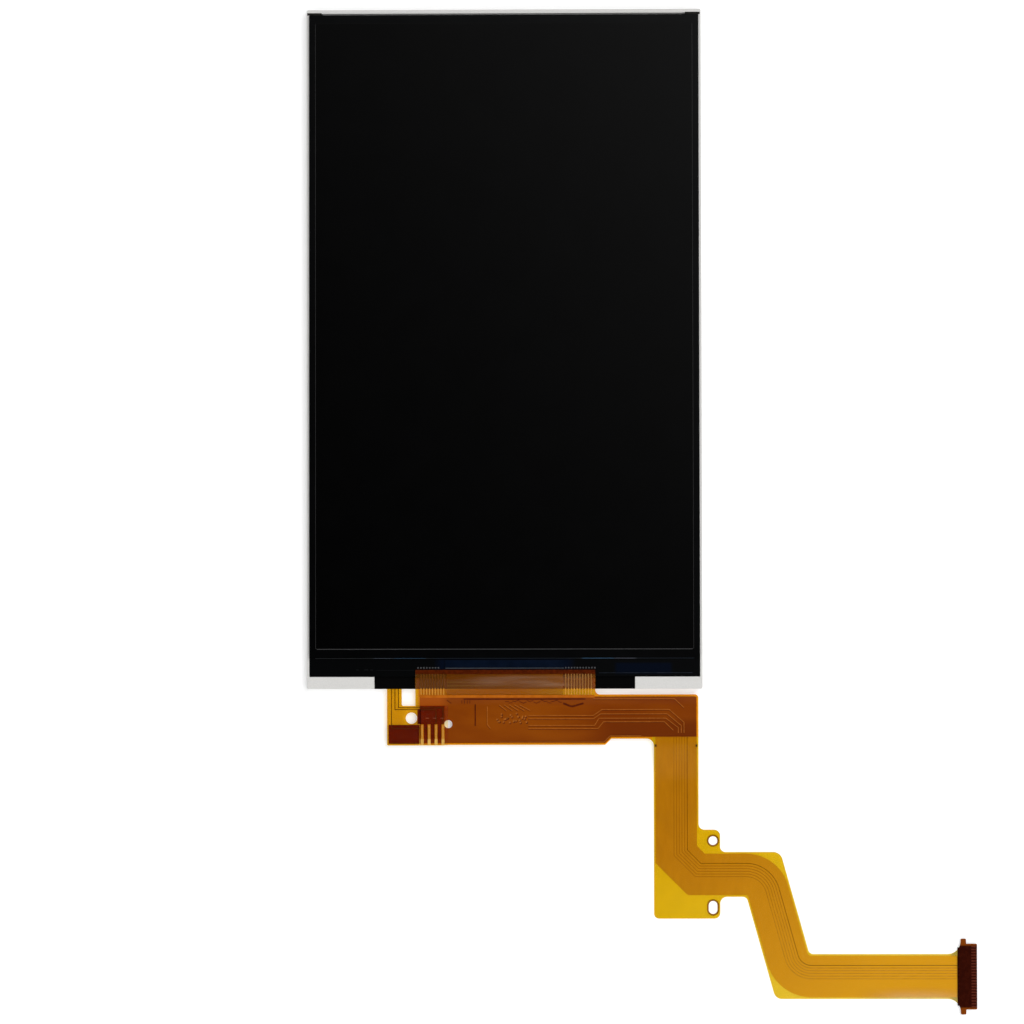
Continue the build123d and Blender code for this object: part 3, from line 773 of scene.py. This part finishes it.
def underside(y):
    """Height of the main circuit's underside: a pair of tangent arcs between each two levels."""
    height = tab_level
    for start, end, level, next_level in flex_bends:
        gone = start - y
        length = start - end
        drop = level - next_level
        radius = (length * length + drop * drop) / (4 * drop)
        if gone >= length:
            height = next_level
        elif gone > length / 2:
            height = next_level + radius - math.sqrt(radius * radius - (length - gone) ** 2)
        elif gone > 0:
            height = level - radius + math.sqrt(radius * radius - gone * gone)
    return height


def lay_on_flex(mesh):
    """Cuts a flat mesh across the bends and drops it on the circuit's underside level."""
    cuts = 12
    for start, end, level, next_level in flex_bends:
        for step in range(cuts + 1):
            bmesh.ops.bisect_plane(
                mesh,
                geom=mesh.verts[:] + mesh.edges[:] + mesh.faces[:],
                dist=1e-5,
                plane_co=(0, start + (end - start) * step / cuts, 0),
                plane_no=(0, 1, 0),
            )
    for vertex in mesh.verts:
        vertex.co.z += underside(vertex.co.y)
    return mesh


tail_right = 34.04
tail_top = -68.40
run_top = -88.675
low_run_top = -106.575
plate_left = 79.4
half_tail = 3.925
mitre_size = 1.20
lean = math.radians(15.7)
lean_x = 45.42
lean_y = -92.60
first_turn_radius = 7.95
second_turn_radius = 0.47


def lean_line(y, distance):
    """Where a line at a distance from the leaning stretch's right edge crosses a level."""
    return lean_x + (lean_y - y) * math.tan(lean) + (half_tail - distance) / math.cos(lean)


def gap_line(distance):
    """Corners of a line that keeps its distance from the tail's right and upper edge."""
    cut = mitre_size + (2 - math.sqrt(2)) * distance
    line_x = tail_right - distance
    line_run = run_top - distance
    line_low = low_run_top - distance
    return [
        (line_x, tail_top, 0),
        (line_x, line_run + cut, 0),
        (line_x + cut, line_run, 0),
        (lean_line(line_run, distance), line_run, first_turn_radius - distance),
        (lean_line(line_low, distance), line_low, second_turn_radius + distance),
        (plate_left, line_low, 0),
    ]


guard_distance = 1.98
gap_pitch = 0.47
gap_size = (0.10, 0.0685, 0.0725)
gap_glue_and_shade = coat(
    "gap_glue_and_shade",
    dark=(0.07, 0.022, 0.010),
    light=(0.16, 0.05, 0.018),
    grain=0.35,
    gloss=(0.4, 0.6),
    relief=0.001,
)
piece("guard_gap", lay_on_flex(ribbon(gap_line(guard_distance), *gap_size)), gap_glue_and_shade)
pale_glue_and_shade = coat(
    "pale_glue_and_shade",
    dark=(0.36, 0.17, 0.080),
    light=(0.60, 0.32, 0.170),
    grain=0.35,
    gloss=(0.4, 0.6),
    relief=0.001,
)
tree = pale_glue_and_shade.node_tree
x, y = axes(tree)
# Darker lines on the upper tail: more painted shade.
deeper_shade_upper_tail = band(tree, y, -93.0, -60.0, 6.0)
paint(pale_glue_and_shade, deeper_shade_upper_tail, (0.37, 0.17, 0.088))
gaps = [ribbon(gap_line(guard_distance + gap_pitch * step), *gap_size) for step in range(1, 6)]
piece("conductor_gaps", lay_on_flex(join(gaps)), pale_glue_and_shade)


# Outer layers: extra films and copper pressed on the circuit's body, which make it thick, dark and stiff.
# The conductors of the upper layer show as fine ridges under the last film, lighter as a painted
# highlight, with painted shadows beside them.
laminate = coat(
    "dark_laminate",
    dark=(0.180, 0.030, 0.0003),
    light=(0.215, 0.042, 0.0005),
    grain=5.0,
    gloss=(0.20, 0.30),
    relief=0.006,
    stretch=(0.5, 1.5, 1),
    shine=0.1,
)
tree = laminate.node_tree
x, y = axes(tree)
cloud = tree.nodes["Noise Texture"].outputs["Fac"]
warm = both(tree, band(tree, x, -6.0, 12.0, 6.0), band(tree, y, -68.0, -63.0, 2.0))
paint(laminate, both(tree, warm, cloud), (0.265, 0.060, 0.0005))
dull = both(tree, band(tree, x, 19.0, 34.0, 5.0), band(tree, y, -70.0, -66.3, 1.5))
paint(laminate, both(tree, dull, cloud), (0.10, 0.012, 0.0002))
by_the_foot = both(tree, band(tree, x, -16.0, -11.5, 2.0), band(tree, y, -62.8, -60.0, 0.8))
paint(laminate, by_the_foot, (0.33, 0.066, 0.002))
dress(laminate, "main_flex_outer_layers")

body_top = 0.20


def line_on_body(points, width, rise):
    """A flat line with mitred corners that lies on the body."""
    return ribbon([(x, y, 0) for x, y in points], width, body_top, body_top + rise)


# Lighter colour of the ridges and bumps: a painted highlight.
ridge_highlight_film = coat(
    "ridge_highlight_film",
    dark=(0.29, 0.080, 0.006),
    light=(0.38, 0.112, 0.011),
    grain=0.4,
    gloss=(0.25, 0.4),
    relief=0.004,
    shine=0.1,
)
ridges = [
    [(4.17, -64.64), (15.60, -64.64), (17.10, -63.60), (28.91, -63.60), (31.51, -65.85), (31.51, -67.73)],
    [(4.17, -65.22), (15.60, -65.22), (16.84, -64.37), (28.56, -64.37), (31.03, -66.43), (31.03, -67.73)],
    [(4.17, -66.39), (15.80, -66.39), (16.57, -65.13), (28.33, -65.13), (30.50, -66.78), (30.50, -67.73)],
    [(4.17, -66.94), (16.39, -66.94), (17.36, -65.76), (28.08, -65.76), (29.62, -67.25)],
    [(15.60, -61.72), (29.85, -61.72), (31.52, -63.27)],
    [(-3.07, -63.04), (-3.07, -66.21), (-2.51, -66.91)],
]
ridge_by_edge = [(-1.00, -69.30), (17.45, -69.30), (18.52, -68.23), (24.00, -68.23)]
fan = [[(-1.0 + 0.9 * step, -62.75), (0.3 + 1.05 * step, -63.75)] for step in range(5)]
ridge_lines = [line_on_body(line, width=0.12, rise=0.012) for line in ridges + [ridge_by_edge] + fan]
piece("body_ridges", lay_on_flex(join(ridge_lines)), ridge_highlight_film)
# Dark lines of painted shade in the grooves, beside the ridges and bumps and at the short leads; it also
# colours a dark crescent.
groove_shade_film = coat(
    "groove_shade_film",
    dark=(0.065, 0.008, 0.0006),
    light=(0.105, 0.013, 0.0010),
    grain=0.5,
    gloss=(0.3, 0.45),
    relief=0.002,
    shine=0.05,
)
grooves = [
    [(-5.20, -62.65), (-5.20, -66.45)],
    [(-7.26, -61.75), (14.21, -61.75)],
]
ridge_shadows = [[(x - 0.06, y - 0.15) for x, y in line] for line in ridges + fan]
ridge_shadows.append([(x, y + 0.14) for x, y in ridge_by_edge])
crescent = [(10.27, -62.50, 0), (11.80, -63.10, 1.2), (13.86, -62.50, 0)]
dark_lines = [line_on_body(line, width=0.24, rise=0.006) for line in grooves]
dark_lines += [line_on_body(line, width=0.09, rise=0.005) for line in ridge_shadows]
dark_lines.append(ribbon(crescent, width=0.34, low=body_top, high=body_top + 0.006))
piece("body_grooves", lay_on_flex(join(dark_lines)), groove_shade_film)


# Plated holes: copper barrels that join the layers. Under the last film each one is a low round bump,
# lighter as a painted highlight, with a painted shadow on one side.
def studs(places, radius, height):
    """Low round bumps on the body at places in mm, narrower at the top."""
    mesh = bmesh.new()
    for x, y in places:
        bmesh.ops.create_cone(
            mesh,
            cap_ends=True,
            segments=10,
            radius1=radius,
            radius2=0.6 * radius,
            depth=height,
            matrix=Matrix.Translation((x, y, body_top + height / 2)),
        )
    return mesh


holes = [(-1.35 + 0.37 * step, -65.35 - 0.55 * math.sin(2.4 * step)) for step in range(15)]
holes += [(-1.10 + 0.53 * step, -65.00 - 0.70 * math.cos(3.7 * step)) for step in range(10)]
bump_shadow_places = [(x + 0.07, y - 0.09) for x, y in holes]
bumps = studs(holes, radius=0.19, height=0.018)
piece("plated_holes", lay_on_flex(bumps), ridge_highlight_film)
bump_shadows = studs(bump_shadow_places, radius=0.22, height=0.008)
piece("hole_shadows", lay_on_flex(bump_shadows), groove_shade_film)


# Short leads of the upper layer: they lie crosswise below the film's edge, and the film is dark where it
# dips between them: painted shade, drawn as dark lines.
short_half = 0.34
short_rise = 0.006
short_lines = []
for step in range(16):
    x = 0.4 + 0.62 * step
    y = -62.20 - 0.22 * math.sin(1.7 * step)
    turn = 0.5 * math.sin(2.9 * step)
    half = Vector((short_half * math.cos(turn), short_half * math.sin(turn)))
    ends = [(x - half.x, y - half.y), (x + half.x, y + half.y)]
    short_lines.append(line_on_body(ends, width=0.12, rise=short_rise))
slanting = [(-10.2, -61.9), (-9.4, -62.5)]
short_lines.append(line_on_body(slanting, width=0.15, rise=short_rise))
for x in (-7.55, -7.10, -6.60, -6.15):
    upright = [(x, -61.95), (x, -62.55)]
    short_lines.append(line_on_body(upright, width=0.12, rise=short_rise))
piece("short_leads", lay_on_flex(join(short_lines)), groove_shade_film)


# Edge of the body's last film: it stops just below the module, and the glue that is pressed out of it
# shows as an orange strip.
flex_top = 0.121
film_edge = coat(
    "film_edge",
    dark=(0.40, 0.096, 0.0006),
    light=(0.47, 0.118, 0.0008),
    grain=1.2,
    gloss=(0.2, 0.35),
    relief=0.004,
    shine=0.1,
)
glue_strip = bar(
    left=-14.9,
    right=15.8,
    bottom=-61.50,
    top=-61.02,
    low=flex_top,
    high=body_top + 0.012,
    slope=0.03,
)
piece("body_film_edge", lay_on_flex(glue_strip), film_edge)


# Leads on the tab: each conductor lifts the film above it, so fine ridges run down both sides of the tab;
# their lighter colour on the right and below the module is a painted glint.
# Along the tab's upper edge a strip of dark red bonding film holds it to the ledge.
lead_film = coat(
    "lead_film",
    dark=(0.085, 0.030, 0.004),
    light=(0.115, 0.040, 0.006),
    grain=0.3,
    gloss=(0.25, 0.4),
    relief=0.002,
    shine=0.03,
)
tree = lead_film.node_tree
x, y = axes(tree)
# Lighter on the right and on the bend below the module: painted glints.
right_leads_glint = band(tree, x, 10.0, 17.0, 2.0)
below_module = band(tree, y, -61.5, -59.9, 0.1)
paint(lead_film, right_leads_glint, (0.27, 0.125, 0.035))
paint(lead_film, below_module, (0.66, 0.29, 0.035))
first_lead = 10.72
side_pitch = 0.50
lead_half = 0.08
lead_bottom = -61.00
lead_end = -57.30
lead_top = flex_top + 0.011
lead_places = [-first_lead - side_pitch * step for step in range(9)]
lead_places += [first_lead + side_pitch * step for step in range(10)]
leads = [
    bar(place - lead_half, place + lead_half, lead_bottom, lead_end, flex_top, lead_top, slope=0.004)
    for place in lead_places
]
piece("tab_leads", lay_on_flex(join(leads)), lead_film)
bond_glue = coat(
    "bond_glue",
    dark=(0.050, 0.006, 0.0004),
    light=(0.085, 0.011, 0.0008),
    grain=0.5,
    gloss=(0.3, 0.45),
    relief=0.002,
    shine=0.02,
)
bond_strip = bar(
    left=-15.70,
    right=15.90,
    bottom=-57.32,
    top=-56.60,
    low=flex_top - 0.0005,
    high=flex_top + 0.003,
    slope=0.001,
)
piece("bond_strip", lay_on_flex(bond_strip), bond_glue)


# Foot of the LED circuit: its film is blackened over the joint and clear past it. The four lands are bared
# in the upper film, and three short bars of solder show above them.
tree = led_film.node_tree
x, y = axes(tree)
blackened = both(tree, band(tree, x, -15.35, -14.8, 0.05), band(tree, y, -66.1, -63.5, 0.05))
tint(led_film, blackened, (0.62, 0.33, 0.15))
past_joint = both(tree, band(tree, x, -10.55, -9.0, 0.15), band(tree, y, -72.0, -63.0, 0.1))
tint(led_film, past_joint, (0.995, 0.96, 0.85))
foot_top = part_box("led_flex_coverlay")[1].z / MM
bed = foot_top - 0.002
bare_gold = coat(
    "bare_gold",
    dark=(0.46, 0.20, 0.020),
    light=(0.58, 0.27, 0.034),
    grain=0.3,
    gloss=(0.3, 0.45),
    relief=0.002,
    shine=0.2,
)
land_half = 0.14
land_bottom = -68.75
land_end = -66.30
land_top = foot_top + 0.003
bared = [
    bar(x - land_half, x + land_half, land_bottom, land_end, bed, land_top, slope=0.001)
    for x in (-14.53, -13.31, -12.09, -10.87)
]
piece("bared_lands", join(bared), bare_gold)
solder = coat(
    "solder_bars",
    dark=(0.16, 0.040, 0.012),
    light=(0.24, 0.070, 0.024),
    grain=0.3,
    gloss=(0.3, 0.45),
    relief=0.002,
    shine=0.2,
)
solder_half = 0.28
solder_bottom = -65.14
solder_end = -65.03
solder_top = foot_top + 0.004
beads = [
    bar(x - solder_half, x + solder_half, solder_bottom, solder_end, bed, solder_top, slope=0.001)
    for x in (-13.65, -12.36, -11.08)
]
piece("solder_bars", join(beads), solder)


# Marks on the tail's film: two small dark rectangles, one at each edge, printed to place the circuit by
# when it is put together.
mark_half = 0.17
mark_bottom = -70.17
mark_end = -69.75
mark_top = flex_top + 0.007
mark_ink = coat(
    "mark_ink",
    dark=(0.03, 0.012, 0.004),
    light=(0.06, 0.022, 0.006),
    grain=0.2,
    gloss=(0.5, 0.7),
    relief=0.001,
    shine=0.05,
)
marks = [
    bar(x - mark_half, x + mark_half, mark_bottom, mark_end, flex_top, mark_top, slope=0.002)
    for x in (26.52, 33.70)
]
piece("tail_marks", lay_on_flex(join(marks)), mark_ink)


# Contact end: a dark stiffener plate with two ears, glued on the upper side, and 22 gold-plated fingers
# below. The fingers press faint ribs into the plate's edge, and dark glue lines its other edge.
ear_amber = (0.20, 0.042, 0.002)
plate_laminate = coat(
    "plate_laminate",
    dark=(0.024, 0.0022, 0.0004),
    light=(0.034, 0.0034, 0.0006),
    grain=0.6,
    gloss=(0.22, 0.32),
    relief=0.004,
    shine=0.03,
)
tree = plate_laminate.node_tree
x, y = axes(tree)
for ear_bottom, ear_top in ((-104.9, -90.0), (-130.0, -116.1)):
    paint(plate_laminate, band(tree, y, ear_bottom, ear_top, 0.3), ear_amber)
dress(plate_laminate, "contact_stiffener")
dress(gold, "contact_fingers")
finger_count = 22
finger_pitch = 0.5
end_middle = -110.50
plate_top = 0.30
rib_half = 0.11
rib_left = 81.80
rib_right = 82.76
rib_top = plate_top + 0.015
rib_film = coat(
    "rib_film",
    dark=(0.080, 0.014, 0.007),
    light=(0.115, 0.022, 0.010),
    grain=0.3,
    gloss=(0.3, 0.45),
    relief=0.002,
    shine=0.06,
)
ribs = []
for step in range(finger_count):
    middle = end_middle + (step - (finger_count - 1) / 2) * finger_pitch
    rib = bar(rib_left, rib_right, middle - rib_half, middle + rib_half, plate_top, rib_top, slope=0.006)
    ribs.append(rib)
piece("plate_ribs", join(ribs), rib_film)
glue_line = bar(
    left=79.36,
    right=79.63,
    bottom=-115.6,
    top=-105.4,
    low=flex_top,
    high=0.22,
    slope=0.05,
)
piece("plate_glue_line", glue_line, plate_laminate)


# Chip capacitors: fired ceramic blocks with tinned end caps, soldered to the back of the circuit's body,
# which steady the driver's supply.
chip_ceramic = coat(
    "chip_ceramic",
    dark=(0.30, 0.20, 0.12),
    light=(0.40, 0.29, 0.19),
    grain=0.12,
    gloss=(0.45, 0.65),
    relief=0.004,
)
dress(chip_ceramic, "capacitor_bodies")
tin_plate = coat(
    "tin_plate",
    dark=(0.58, 0.57, 0.55),
    light=(0.70, 0.69, 0.67),
    grain=0.15,
    gloss=(0.28, 0.45),
    relief=0.004,
    metal=0.7,
)
dress(tin_plate, "capacitor_caps")


# Table: a matt white sheet that the module lies on. Seen straight on, in a mirror or through film it is
# white, and it keeps the module's shadow.
floor_half = 4
floor_gap = 0.00002
floor_grey = 0.75
floor_glow = 0.40
floor_mesh = bmesh.new()
bmesh.ops.create_grid(floor_mesh, x_segments=1, y_segments=1, size=floor_half)
bmesh.ops.translate(floor_mesh, vec=(0, 0, -floor_gap), verts=floor_mesh.verts[:])
floor_data = bpy.data.meshes.new("table")
floor_mesh.to_mesh(floor_data)
floor_mesh.free()
floor = bpy.data.objects.new("table", floor_data)
bpy.context.scene.collection.objects.link(floor)
white_table = bpy.data.materials.new("white_table")
white_table.use_nodes = True
floor_data.materials.append(white_table)
tree = white_table.node_tree
matt = tree.nodes["Principled BSDF"]
matt.inputs["Base Color"].default_value = (floor_grey, floor_grey, floor_grey, 1)
matt.inputs["Roughness"].default_value = 1
matt.inputs["Specular IOR Level"].default_value = 0
glow = tree.nodes.new("ShaderNodeEmission")
glow.inputs["Strength"].default_value = floor_glow
lit_and_glow = tree.nodes.new("ShaderNodeAddShader")
choice = tree.nodes.new("ShaderNodeMixShader")
path = tree.nodes.new("ShaderNodeLightPath").outputs
seen = reckon(tree, "MAXIMUM", path["Is Camera Ray"], path["Is Glossy Ray"])
seen = reckon(tree, "MAXIMUM", seen, path["Is Transmission Ray"])
tree.links.new(matt.outputs["BSDF"], lit_and_glow.inputs[0])
tree.links.new(glow.outputs["Emission"], lit_and_glow.inputs[1])
tree.links.new(seen, choice.inputs["Fac"])
tree.links.new(matt.outputs["BSDF"], choice.inputs[1])
tree.links.new(lit_and_glow.outputs["Shader"], choice.inputs[2])
tree.links.new(choice.outputs["Shader"], tree.nodes["Material Output"].inputs["Surface"])


# Room: a soft, even light from the walls, darker overhead so that the panel stays black, with a broad glow
# high at the upper right and a light wall below the module. The camera sees plain white.
glow_from = (0.5, 0.5, 0.7071)
glow_focus = 13.6
glow_strength = 4.6
room = bpy.data.worlds.new("room")
bpy.context.scene.world = room
room.use_nodes = True
tree = room.node_tree
towards = tree.nodes.new("ShaderNodeTexCoord").outputs["Generated"]


def fade(tree, value, low, high, strength):
    """Light that falls smoothly from a strength to none between two limits."""
    slope = tree.nodes.new("ShaderNodeMapRange")
    slope.interpolation_type = "SMOOTHSTEP"
    limits = {"From Min": low, "From Max": high, "To Min": strength, "To Max": 0.0}
    for socket, amount in limits.items():
        slope.inputs[socket].default_value = amount
    tree.links.new(value, slope.inputs["Value"])
    return slope.outputs["Result"]


aim = tree.nodes.new("ShaderNodeVectorMath")
aim.operation = "DOT_PRODUCT"
aim.inputs[1].default_value = glow_from
tree.links.new(towards, aim.inputs[0])
high_glow = reckon(tree, "MAXIMUM", aim.outputs["Value"], 0)
high_glow = reckon(tree, "POWER", high_glow, glow_focus)
high_glow = reckon(tree, "MULTIPLY", high_glow, glow_strength)
parts = tree.nodes.new("ShaderNodeSeparateXYZ")
tree.links.new(towards, parts.inputs["Vector"])
walls = fade(tree, parts.outputs["Z"], 0.60, 0.80, strength=0.36)
light_wall = fade(tree, parts.outputs["Y"], -0.125, -0.04, strength=0.72)
room_light = reckon(tree, "ADD", reckon(tree, "ADD", high_glow, light_wall), walls)
lit = tree.nodes["Background"]
lit.inputs["Color"].default_value = (1, 1, 1, 1)
plain = tree.nodes.new("ShaderNodeBackground")
plain.inputs["Color"].default_value = (1, 1, 1, 1)
plain.inputs["Strength"].default_value = 1
choice = tree.nodes.new("ShaderNodeMixShader")
path = tree.nodes.new("ShaderNodeLightPath").outputs
tree.links.new(room_light, lit.inputs["Strength"])
tree.links.new(path["Is Camera Ray"], choice.inputs["Fac"])
tree.links.new(lit.outputs["Background"], choice.inputs[1])
tree.links.new(plain.outputs["Background"], choice.inputs[2])
tree.links.new(choice.outputs["Shader"], tree.nodes["World Output"].inputs["Surface"])


# Lamp and camera: one broad lamp at the lower right, which puts a soft glare on the films, and the camera,
# which stands almost square above the module.
lamp_data = bpy.data.lights.new("broad_lamp", "AREA")
lamp_data.energy = 0.7
lamp_data.size = 0.35
lamp_aim = Vector((0.03, -0.06, 0))
lamp = bpy.data.objects.new("broad_lamp", lamp_data)
lamp.location = (0.35, -0.45, 0.45)
lamp.rotation_euler = (lamp_aim - lamp.location).to_track_quat("-Z", "Y").to_euler()
bpy.context.scene.collection.objects.link(lamp)
camera_data = bpy.data.cameras.new("camera")
camera_data.lens = 129.4706
camera_data.sensor_width = 36
camera = bpy.data.objects.new("camera", camera_data)
camera.location = (0.010166869, -0.045282113, 0.649176190)
camera.rotation_euler = [math.radians(turn) for turn in (1.452511, 0.782927, -0.098398)]
bpy.context.scene.collection.objects.link(camera)
bpy.context.scene.camera = camera
bpy.context.scene.view_settings.view_transform = "Standard"
